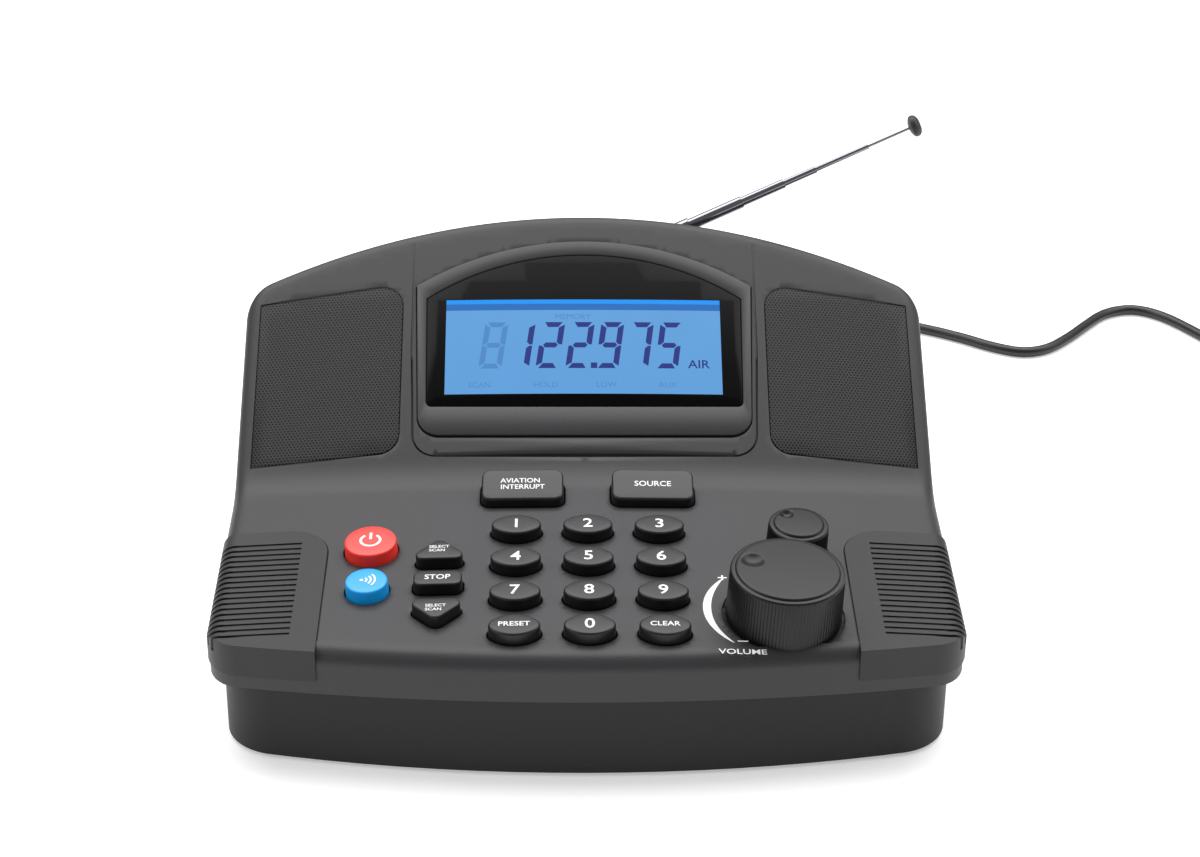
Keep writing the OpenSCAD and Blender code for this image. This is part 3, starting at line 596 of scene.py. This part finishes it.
lcdSet = {"left": -50.5, "right": 49.8, "height": -0.1, "acrossSteps": 26, "upSteps": 10,
          "bands": (("lcdField", 34.4, 69.6, lcdMat), ("lcdBand", 69.6, 72.3, bandMat), ("lcdStrip", 72.3, 74.1, stripMat))}
for name, low, high, mat in lcdSet["bands"]:
    bm = bmesh.new()
    bmesh.ops.create_grid(bm, x_segments=lcdSet["acrossSteps"], y_segments=lcdSet["upSteps"], size=0.5)
    spread(bm, lambda x, y: onPanel(lcdSet["left"] + (x + 0.5) * (lcdSet["right"] - lcdSet["left"]),
                                    low + (y + 0.5) * (high - low), lcdSet["height"]))
    place(bm, name, mat, "case", closed=False)

digitSet = {"text": "122.975", "x": -28.6, "base": 45.0, "tall": 19.4, "wide": 8.4, "stroke": 2.1, "pitch": 10.8,
            "slant": 0.13, "break": 0.25, "height": -0.05}
ghostSet = {"text": "8", "x": -38.5, "base": 45.0, "tall": 19.4, "wide": 8.4, "stroke": 2.0, "pitch": 11,
            "slant": 0.13, "break": 0.25, "height": -0.07}
segmentsOf = {"1": "bc", "2": "abged", "5": "afgcd", "7": "abc", "8": "abcdefg", "9": "abcdfg"}


def segmentShape(kind, w, h, t, g):
    m = h / 2
    return {
        "a": [(t * 0.35 + g, h), (w - t * 0.35 - g, h), (w - t - g, h - t), (t + g, h - t)],
        "d": [(t + g, t), (w - t - g, t), (w - t * 0.35 - g, 0), (t * 0.35 + g, 0)],
        "g": [(t * 0.6 + g, m), (t + g, m + t / 2), (w - t - g, m + t / 2), (w - t * 0.6 - g, m),
              (w - t - g, m - t / 2), (t + g, m - t / 2)],
        "b": [(w, h - t * 0.35 - g), (w, m + g), (w - t * 0.5, m + g), (w - t, m + t / 2 + g), (w - t, h - t - g)],
        "c": [(w, m - g), (w, t * 0.35 + g), (w - t, t + g), (w - t, m - t / 2 - g), (w - t * 0.5, m - g)],
        "f": [(0, h - t * 0.35 - g), (t, h - t - g), (t, m + t / 2 + g), (t * 0.5, m + g), (0, m + g)],
        "e": [(0, m - g), (t * 0.5, m - g), (t, m - t / 2 - g), (t, t + g), (0, t * 0.35 + g)],
    }[kind]


def digits(name, part, mat):
    shapes, x = [], part["x"]
    for c in part["text"]:
        if c == ".":
            left, side = x - part["pitch"] + part["wide"] + 0.9, part["stroke"] * 1.1
            shapes.append([(left + dx * side, part["base"] + dy * side) for dx, dy in ((0, 0), (1, 0), (1, 1), (0, 1))])
            continue
        for kind in segmentsOf[c]:
            outline = segmentShape(kind, part["wide"], part["tall"], part["stroke"], part["break"])
            shapes.append([(x + px + py * part["slant"], part["base"] + py) for px, py in outline])
        x += part["pitch"]
    drawn(shapes, lambda px, py: onPanel(px, py, part["height"]), name, mat)


digits("lcdDigits", digitSet, digitMat)
digits("lcdGhostDigit", ghostSet, ghostMat)


def words(name, text, size, spot, mat=printMat, body="case", bold=0.0, squeeze=1.0):
    # flat lettering centred on spot(0, 0)
    curve = bpy.data.curves.new(name + "Curve", "FONT")
    curve.body = text
    curve.size = 1
    curve.offset = bold
    curve.resolution_u = 3
    holder = bpy.data.objects.new(name + "Holder", curve)
    bpy.context.scene.collection.objects.link(holder)
    bpy.context.view_layer.update()
    letters = bpy.data.meshes.new_from_object(holder.evaluated_get(bpy.context.evaluated_depsgraph_get()))
    bm = bmesh.new()
    bm.from_mesh(letters)
    bpy.data.objects.remove(holder)
    bpy.data.curves.remove(curve)
    bpy.data.meshes.remove(letters)
    bmesh.ops.scale(bm, vec=(size * squeeze, size, 1), verts=bm.verts)
    cx, cy = ((min(v.co[k] for v in bm.verts) + max(v.co[k] for v in bm.verts)) / 2 for k in (0, 1))
    spread(bm, lambda x, y: spot(x - cx, y - cy))
    return place(bm, name, mat, body, closed=False)


wordSet = {"lcdHeight": -0.07, "deckHeight": -0.52,
           "ghosts": (("MEMORY", -4, 66.8), ("SCAN", -38, 38.2), ("HOLD", -14, 38.2), ("LOW", 8, 38.2), ("AUX", 30, 38.2)),
           "deck": (("wordVolume", "VOLUME", 49.6, 6.1, 3.7), ("wordMinus", "–", 50.0, 11.6, 6.0),
                    ("wordPlus", "+", 45.2, 46.6, 5.6), ("wordSquelch", "SQUELCH", 72.5, 80.4, 3.9))}
words("wordAir", "AIR", 4.9, lambda px, py: onPanel(41.5 + px, 46.9 + py, -0.05), digitMat, bold=0.01, squeeze=1.05)
for text, x, v in wordSet["ghosts"]:
    words("ghost" + text.title(), text, 3.2, lambda px, py: onPanel(x + px, v + py, wordSet["lcdHeight"]), ghostMat)
for name, text, x, v, size in wordSet["deck"]:
    words(name, text, size, lambda px, py: onDeck(x + px, v + py, wordSet["deckHeight"]), bold=0.012, squeeze=1.08)

swooshSet = {"at": (64.3, 29.2), "rx": 26.4, "ry": 24.5, "from": 137, "sweep": 92, "steps": 24, "thin": 0.3,
             "thick": 2.9, "height": -0.53}


def swooshPair(i):
    # outer and inner point of the swelling line that runs from minus to plus
    t = i / swooshSet["steps"]
    a = math.radians(swooshSet["from"] + swooshSet["sweep"] * t)
    thick = swooshSet["thin"] + swooshSet["thick"] * math.sin(math.pi * (1 - t)) ** 0.8 * (1 - 0.35 * t)
    cx, cy = swooshSet["at"]
    rx, ry = swooshSet["rx"], swooshSet["ry"]
    return ((cx + rx * math.cos(a), cy + ry * math.sin(a)),
            (cx + (rx - thick) * math.cos(a), cy + (ry - thick * 0.9) * math.sin(a)))


pairs = [swooshPair(i) for i in range(swooshSet["steps"] + 1)]
drawn([(a[0], b[0], b[1], a[1]) for a, b in zip(pairs, pairs[1:])],
      lambda x, y: onDeck(x, y, swooshSet["height"]), "volumeSwoosh", printMat)
print("display and print")


def grilleMaterial(pitch=1.25, hole=0.43):
    # two rows of round holes, half a pitch apart, on the face's own millimetre map; the holes are painted near-black as
    # painted shade and pressed in by a bump
    mat = finishOf("grillePlastic", (28, 28, 29), 0.5, shine=0.2)
    nodes, links = mat.node_tree.nodes, mat.node_tree.links
    bsdf = nodes["Principled BSDF"]
    faceMap = nodes.new("ShaderNodeUVMap")
    faceMap.uv_map = "face"
    rise = 1.732 * pitch

    def vectorStep(source, operation, *values):
        node = nodes.new("ShaderNodeVectorMath")
        node.operation = operation
        links.new(source, node.inputs[0])
        for i, value in enumerate(values):
            node.inputs[i + 1].default_value = value
        return node

    def valueStep(source, operation, value=None, other=None):
        node = nodes.new("ShaderNodeMath")
        node.operation = operation
        links.new(source, node.inputs[0])
        if other is not None:
            links.new(other, node.inputs[1])
        else:
            node.inputs[1].default_value = value
        return node

    holeShadeDots = []
    for shift in (0.0, 0.5):
        cell = vectorStep(faceMap.outputs["UV"], "MULTIPLY_ADD", (1 / pitch, 1 / rise, 0), (shift, shift, 0))
        part = vectorStep(cell.outputs[0], "FRACTION")
        centred = vectorStep(part.outputs[0], "MULTIPLY_ADD", (pitch, rise, 0), (-pitch / 2, -rise / 2, 0))
        away = vectorStep(centred.outputs[0], "LENGTH")
        holeShadeDots.append(valueStep(away.outputs["Value"], "LESS_THAN", hole).outputs[0])
    holes = valueStep(holeShadeDots[0], "MAXIMUM", other=holeShadeDots[1])
    # near-black in the holes is painted shade, the face round them keeps its grey
    mix = nodes.new("ShaderNodeMix")
    mix.data_type = "RGBA"
    mix.inputs["A"].default_value = linear((58, 58, 60))
    mix.inputs["B"].default_value = linear((3, 3, 3))
    links.new(holes.outputs[0], mix.inputs["Factor"])
    links.new(mix.outputs["Result"], bsdf.inputs["Base Color"])
    bump = nodes.new("ShaderNodeBump")
    bump.invert = True
    bump.inputs["Strength"].default_value = 0.7
    bump.inputs["Distance"].default_value = 0.0006
    links.new(holes.outputs[0], bump.inputs["Height"])
    links.new(bump.outputs["Normal"], bsdf.inputs["Normal"])
    return mat


sheetMat = grilleMaterial()
for s, side in ((-1, "Left"), (1, "Right")):
    sheet = plate("grille" + side, s * grilleSet["x"], grilleSet["v"], grilleOutline(0, s), -2.05, -0.95, sheetMat,
                  ("speaker_grille_" + side.lower(),))
    layer = sheet.data.uv_layers.new(name="face")
    for corner in sheet.data.loops:
        co = sheet.data.vertices[corner.vertex_index].co / mm
        layer.data[corner.index].uv = (co.x, (co.y + midY - case["bendY"]) / math.cos(case["panelSlope"]))
print("grilles")


def keyPiece(name, node, x, v, outline, mat, label=None, size=5.0, high=None, slope=0.0, edge=0.9):
    # a key from below its well to a softly domed top that may slope towards the front
    high = high or keySet["height"]
    frameAt = keyFrame(x, v)

    def at(px, py, h):
        return frameAt(px, py, h + (py * math.tan(slope) if h > 1 else 0))

    draft, edgeSteps, dome = 0.25, 5, 0.12
    rings = [[row(*at(px, py, keySet["depth"])) for px, py in outline]]
    for k in range(edgeSteps + 1):
        a = math.pi / 2 * k / edgeSteps
        ring = inset(outline, draft + edge * (1 - math.cos(a)))
        rings.append([row(*at(px, py, high - edge * (1 - math.sin(a)))) for px, py in ring])
    inner = inset(outline, draft + edge)
    for f in (0.7, 0.35):
        rings.append([row(*at(px * f, py * f, high + dome * (1 - f * f))) for px, py in inner])
    bm = bmesh.new()
    loft(bm, rings)
    place(bm, name, mat, node, (node,), 40)
    if label:
        words(name + "Word", label, size, lambda px, py: at(px, py, high + 0.16), body=node, bold=0.012)
    return at


labels = {"1": "1", "2": "2", "3": "3", "4": "4", "5": "5", "6": "6", "7": "7", "8": "8", "9": "9",
          "preset": "PRESET", "0": "0", "clear": "CLEAR"}
for i, (key, label) in enumerate(labels.items()):
    keyPiece("pad" + key, "key_" + key, keySet["columns"][i % 3], keySet["rows"][i // 3], oval(*keySet["numeral"]),
             keyMat, label, 7.2 if len(label) == 1 else 3.3)
upV, stopV, downV = keySet["sideRows"]
small = keySet["smallEdge"]
keyPiece("scanUp", "key_scan_up", keySet["sideX"], upV, blob(keySet["up"]), keyMat, "SELECT\nSCAN", 2.1, edge=small)
keyPiece("scanStop", "key_stop", keySet["sideX"], stopV, pad(*keySet["stop"]), keyMat, "STOP", 3.6, edge=small)
keyPiece("scanDown", "key_scan_down", keySet["sideX"], downV, blob(keySet["down"]), keyMat, "SELECT\nSCAN", 2.1,
         edge=small)
for name, node, x, label, size in (("wideLeft", "key_interrupt", keySet["wideX"][0], "AVIATION\nINTERRUPT", 3.0),
                                   ("wideRight", "key_source", keySet["wideX"][1], "SOURCE", 3.4)):
    keyPiece(name, node, x, keySet["wideV"], pad(*keySet["wide"]), keyMat, label, size,
             high=keySet["wideHeight"], slope=keySet["wideSlope"])
powerAt = keyPiece("powerKey", "power_button", keySet["roundX"], keySet["powerV"], disc(keySet["powerR"]), redMat,
                   edge=small)
blueAt = keyPiece("wirelessKey", "wireless_button", keySet["roundX"], keySet["wirelessV"], disc(keySet["wirelessR"]),
                  blueMat, edge=small)


def strokeArc(bm, r, half, start, end, steps):
    # a flat arc: a short line across the stroke, spun round the centre
    a = math.radians(start)
    ends = [bm.verts.new((d * math.cos(a), d * math.sin(a), 0)) for d in (r - half, r + half)]
    bmesh.ops.spin(bm, geom=ends + [bm.edges.new(ends)], cent=(0, 0, 0), axis=(0, 0, 1), dvec=(0, 0, 0),
                   angle=math.radians(end - start), steps=steps)


markSet = {"height": 3.8, "powerRing": (3.3, 0.45, 125, 415, 40), "powerBar": (0.9, 3.8), "barMiddle": 2.5,
           "waves": (1.7, 3.1, 4.5), "waveHalf": 0.32, "waveAngle": 42, "waveShift": -1.6, "dot": 0.6}
bm = bmesh.new()
strokeArc(bm, *markSet["powerRing"])
bmesh.ops.create_grid(bm, x_segments=1, y_segments=1, size=0.5,
                      matrix=Matrix.Translation((0, markSet["barMiddle"], 0)) @ Matrix.Diagonal((*markSet["powerBar"], 1, 1)))
spread(bm, lambda x, y: powerAt(x, y, markSet["height"]))
place(bm, "powerMark", printMat, "power_button", closed=False)
bm = bmesh.new()
for r in markSet["waves"]:
    strokeArc(bm, r, markSet["waveHalf"], -markSet["waveAngle"], markSet["waveAngle"], 12)
bmesh.ops.create_circle(bm, cap_ends=True, radius=markSet["dot"], segments=14)
spread(bm, lambda x, y: blueAt(x + markSet["waveShift"], y, markSet["height"]))
place(bm, "wirelessMark", printMat, "wireless_button", closed=False)
print("keys")


def knobPiece(name, node, knob):
    # ridged side, a small step at the top edge, and a face that domes a little round a finger dimple
    at, r, high, n = keyFrame(*knob["at"]), knob["r"], knob["high"], knob["ridges"] * 4
    dx, dy, dr = knob["dimple"]
    ridge, dimpleDeep, dome = 0.28, 1.3, 0.25
    rings = []

    def ring(radius, h, ripple=0.0, dished=False):
        out = []
        for i in range(n):
            a = 2 * math.pi * i / n
            rad = radius - (ripple if i % 4 < 2 else 0)
            px, py = rad * math.cos(a), rad * math.sin(a)
            q = math.hypot(px - dx, py - dy) / dr
            low = dimpleDeep * (1 - q * q) if dished and q < 1 else 0
            out.append(row(*at(px, py, h - low)))
        rings.append(out)

    ring(r + 0.3, -1.1)
    ring(r + 0.35, -0.6, ridge)
    ring(r + 0.05, high - 1.9, ridge)
    for d, drop in ((0.0, 1.5), (0.1, 1.1), (0.4, 0.75), (0.9, 0.6), (1.4, 0.62), (1.55, 0.62), (1.75, 0.25), (2.1, 0)):
        ring(r - d, high - drop)
    radius = r - 2.4
    while radius > 0.5:
        ring(radius, high + dome * (1 - (radius / r) ** 2), dished=True)
        radius -= 0.45
    bm = bmesh.new()
    loft(bm, rings, False, True, nested=True)
    place(bm, name, knobMat, node, (node,), 30)


knobPiece("volumeDial", "volume_knob", knobSet["volume"])
knobPiece("squelchDial", "squelch_knob", knobSet["squelch"])
print("knobs")

copyNode("antenna_mount", "aerialmount", darkMat, "case", 32)
copyNode("antenna_swivel", "aerialswivel", steelMat, "antenna_swivel", 32)
copyNode("antenna_base", "aerialbase", chromeMat, "antenna_base", 32)
for i in range(1, 6):
    copyNode("antenna_tube_%d" % i, "aerialtube%d" % i, chromeMat, "antenna_tube_%d" % i, 32)

aerialSet = {"pivot": (-65.7, 205.7, 58), "tilt": math.radians(25.8), "base": 118.0,
             "out": (21.6, 17.2, 13.1, 21.3, 16.7),
             "tip": ((-0.5, 0.7), (-0.4, 1.7), (0.2, 3.2), (0.8, 4.0), (1.5, 4.2), (2.6, 4.1), (3.4, 3.4), (4.0, 2.0),
                     (4.1, 0.4))}
tilt = aerialSet["tilt"]
end = aerialSet["base"] + sum(aerialSet["out"])
bm = bmesh.new()
tipAxis = axisAt(aerialSet["pivot"], Vector((math.cos(tilt), 0, math.sin(tilt))),
                 Vector((-math.sin(tilt), 0, math.cos(tilt))))
spun(bm, [(end + s, r) for s, r in aerialSet["tip"]], 32, tipAxis)
place(bm, "aerialTip", darkMat, "antenna_tube_5", ("antenna_tip",), 35)
print("antenna")

finishes = {"feet": rubberMat, "battery_cover": baseMat, "batteries": cellMat, "case_screws": steelMat,
            "lcd_glass": lcdMat, "display_board": boardMat, "speaker_left": darkMat, "speaker_right": darkMat,
            "volume_shaft": steelMat, "squelch_shaft": steelMat, "volume_pot": steelMat, "squelch_pot": steelMat,
            "keypad_board": boardMat, "main_board": boardMat, "dc_jack": darkMat, "aux_jack": darkMat,
            "adapter_pins": brassMat}
for node, mat in finishes.items():
    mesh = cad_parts[node].data
    mesh.materials.clear()
    mesh.materials.append(mat)

cordSet = {"radius": 2.3, "coil": (330, 306), "coilR": 27.5, "turns": 6, "pitch": 4.74, "coilStart": 212,
           "turnSteps": 24, "smooth": 3, "sides": 16}


def cordLine():
    # out of the plug, down to the table, along it in loose curves, round the coil and up into the adapter
    r = cordSet["radius"]
    way = [(70, 220.4, 20), (70, 228, 20), (70, 235.5, 19.5), (70.5, 249, 15.5), (72, 263.5, 8.5), (74.2, 279, 3.6),
           (78, 296, r + 0.1)]
    for x, y in ((84, 317), (98, 338), (118, 348), (138, 347), (154, 340), (169, 331), (182, 321.5), (194, 316.5),
                 (205.5, 320), (217, 331.5), (226.5, 343.5), (237, 355.5), (248, 360.5), (257, 358.5), (266, 350),
                 (276, 334), (285.5, 317)):
        way.append((x, y, r))
    way.append((295, 303.5, r + 0.1))
    cx, cy = cordSet["coil"]
    start, end = math.radians(cordSet["coilStart"]), math.radians(360) + 2 * math.pi * cordSet["turns"]
    n = cordSet["turnSteps"] * cordSet["turns"]
    for i, (x, y) in enumerate(arc(cx, cy, cordSet["coilR"], start, end, n)):
        way.append((x, y, r + 0.25 + cordSet["pitch"] * (end - start) * i / n / (2 * math.pi)))
    top, x = way[-1][2], cx + cordSet["coilR"]
    return way + [(x, cy + 8, top - 0.6), (x, cy + 16, top - 4.0), (x, cy + 24, top - 9.3), (x, cy + 32, 16.4),
                  (x, cy + 40, 15)]


def smoothLine(way, k):
    # k steps along a smooth curve between each two points
    out = []
    for i in range(len(way) - 1):
        a, b, c, d = (Vector(way[max(0, min(len(way) - 1, j))]) for j in (i - 1, i, i + 1, i + 2))
        for s in range(k):
            t = s / k
            out.append(0.5 * (2 * b + (c - a) * t + (2 * a - 5 * b + 4 * c - d) * t * t
                              + (3 * b - a - 3 * c + d) * t ** 3))
    out.append(Vector(way[-1]))
    return out


def tube(line, r, n):
    rings = []
    side = Vector((1, 0, 0))
    for i, p in enumerate(line):
        t = (line[min(i + 1, len(line) - 1)] - line[max(i - 1, 0)]).normalized()
        side = (side - t * side.dot(t)).normalized()
        up = t.cross(side)
        rings.append([row(*(p + side * x + up * y)) for x, y in disc(r, n)])
    bm = bmesh.new()
    loft(bm, rings)
    return bm


line = smoothLine(cordLine(), cordSet["smooth"])
cordObj = place(tube(line, cordSet["radius"], cordSet["sides"]), "powerCord", cordMat, "case",
                ("power_cord", "cord_coil"), 60)

rearSet = {"bow": 343, "middle": 197.7, "jackX": 70, "jackZ": 20}
rearY = rearSet["middle"] - rearSet["bow"] + math.sqrt(rearSet["bow"] ** 2 - rearSet["jackX"] ** 2)
plugSet = {"body": [(-9.5, 2.7), (0.9, 2.7), (1.0, 4.4), (1.5, 4.9), (20, 4.9), (20.8, 4.5)],
           "reliefStart": 21, "ribs": 4, "ribPitch": 2.1, "end": [(29.6, 2.9), (29.8, 2.4)]}
backward, sideways = Vector((0, 1, 0)), Vector((1, 0, 0))
profile = list(plugSet["body"])
for i in range(plugSet["ribs"]):
    s, r = plugSet["reliefStart"] + plugSet["ribPitch"] * i, 3.55 - 0.2 * i
    profile += [(s, r), (s + 1.3, r), (s + 1.35, 2.75), (s + 1.95, 2.75)]
bm = bmesh.new()
plugAxis = axisAt((rearSet["jackX"], rearY, rearSet["jackZ"]), backward, sideways)
spun(bm, profile + plugSet["end"], 36, plugAxis)
plugObj = place(bm, "cordPlug", cordMat, "case", ("dc_plug",), 40)

adapterSet = {"at": (357.5, 386), "plan": (48, 68, 5), "low": 0.3, "high": 30.3, "edgeR": 2, "stemY": -41,
              "stemZ": 15, "stem": ((0, 2.5), (0.2, 3), (7.5, 3.8))}
ax, ay = adapterSet["at"]
bm = bmesh.new()
stemAxis = axisAt((ax, ay + adapterSet["stemY"], adapterSet["stemZ"]), backward, sideways)
spun(bm, adapterSet["stem"], 24, stemAxis)
plan = [(ax + x, ay + y) for x, y in pad(*adapterSet["plan"])]
edgeR = adapterSet["edgeR"]
steps = [(d, edgeR - math.sqrt(edgeR ** 2 - (edgeR - d) ** 2)) for d in (2.0, 1.2, 0.5, 0.1, 0)]
rings = [[row(x, y, adapterSet["low"] + rise) for x, y in inset(plan, d)] for d, rise in steps]
rings += [[row(x, y, adapterSet["high"] - rise) for x, y in inset(plan, d)] for d, rise in reversed(steps)]
loft(bm, rings)
adapterObj = place(bm, "plugAdapter", darkMat, "case", ("wall_adapter",), 40)

tieSet = {"angle": math.radians(100), "half": (2.7, 14.5), "middle": 17.65, "thick": 0.45, "wide": 5, "square": 0.35}


def tieLoop(across, grow):
    # a squarish loop round the coil's turns, seen along them
    cx, cy = cordSet["coil"]
    c, s = math.cos(tieSet["angle"]), math.sin(tieSet["angle"])
    ring = []
    for x, z in disc(1, 40):
        out, up = (math.copysign(abs(p) ** tieSet["square"] * (half + grow), p) for p, half in zip((x, z), tieSet["half"]))
        r = cordSet["coilR"] + out
        ring.append(row(cx + r * c - across * s, cy + r * s + across * c, tieSet["middle"] + up))
    return ring


half, thick = tieSet["wide"] / 2, tieSet["thick"]
bm = bmesh.new()
loft(bm, [tieLoop(*p) for p in ((-half, 0), (-half, thick), (half, thick), (half, 0), (-half, 0))],
     False, False, nested=True)
tieObj = place(bm, "cordTie", rubberMat)
print("cord")

floorMat = finishOf("floorPaper", (246, 246, 246), 0.9, shade=0.01, size=3, glow=0.42)
bpy.ops.mesh.primitive_plane_add(size=30, location=(0, 0, 0))
floor = bpy.context.active_object
floor.name = "floor"
floor.data.materials.append(floorMat)


def softbox(name, at, aim, size, power):
    data = bpy.data.lights.new(name, "AREA")
    data.shape = "RECTANGLE"
    data.size, data.size_y = size
    data.energy = power
    lamp = bpy.data.objects.new(name, data)
    lamp.location = at
    lamp.rotation_euler = (Vector(aim) - Vector(at)).to_track_quat("-Z", "Y").to_euler()
    bpy.context.scene.collection.objects.link(lamp)


softbox("topLight", (0.0, 0.6, 1.35), (0, 0, 0), (2.2, 1.3), 38)
softbox("leftLight", (-1.3, -0.3, 0.9), (0, 0, 0.05), (0.9, 0.9), 5)
softbox("rightLight", (1.3, 0.1, 0.9), (0, 0, 0.05), (0.9, 0.9), 5)
world = bpy.data.worlds.new("studio")
bpy.context.scene.world = world
world.use_nodes = True
world.node_tree.nodes["Background"].inputs["Color"].default_value = (1, 1, 1, 1)
world.node_tree.nodes["Background"].inputs["Strength"].default_value = 0.3
bpy.context.scene.view_settings.view_transform = "Standard"
print("floor and lights")

bpy.context.view_layer.update()
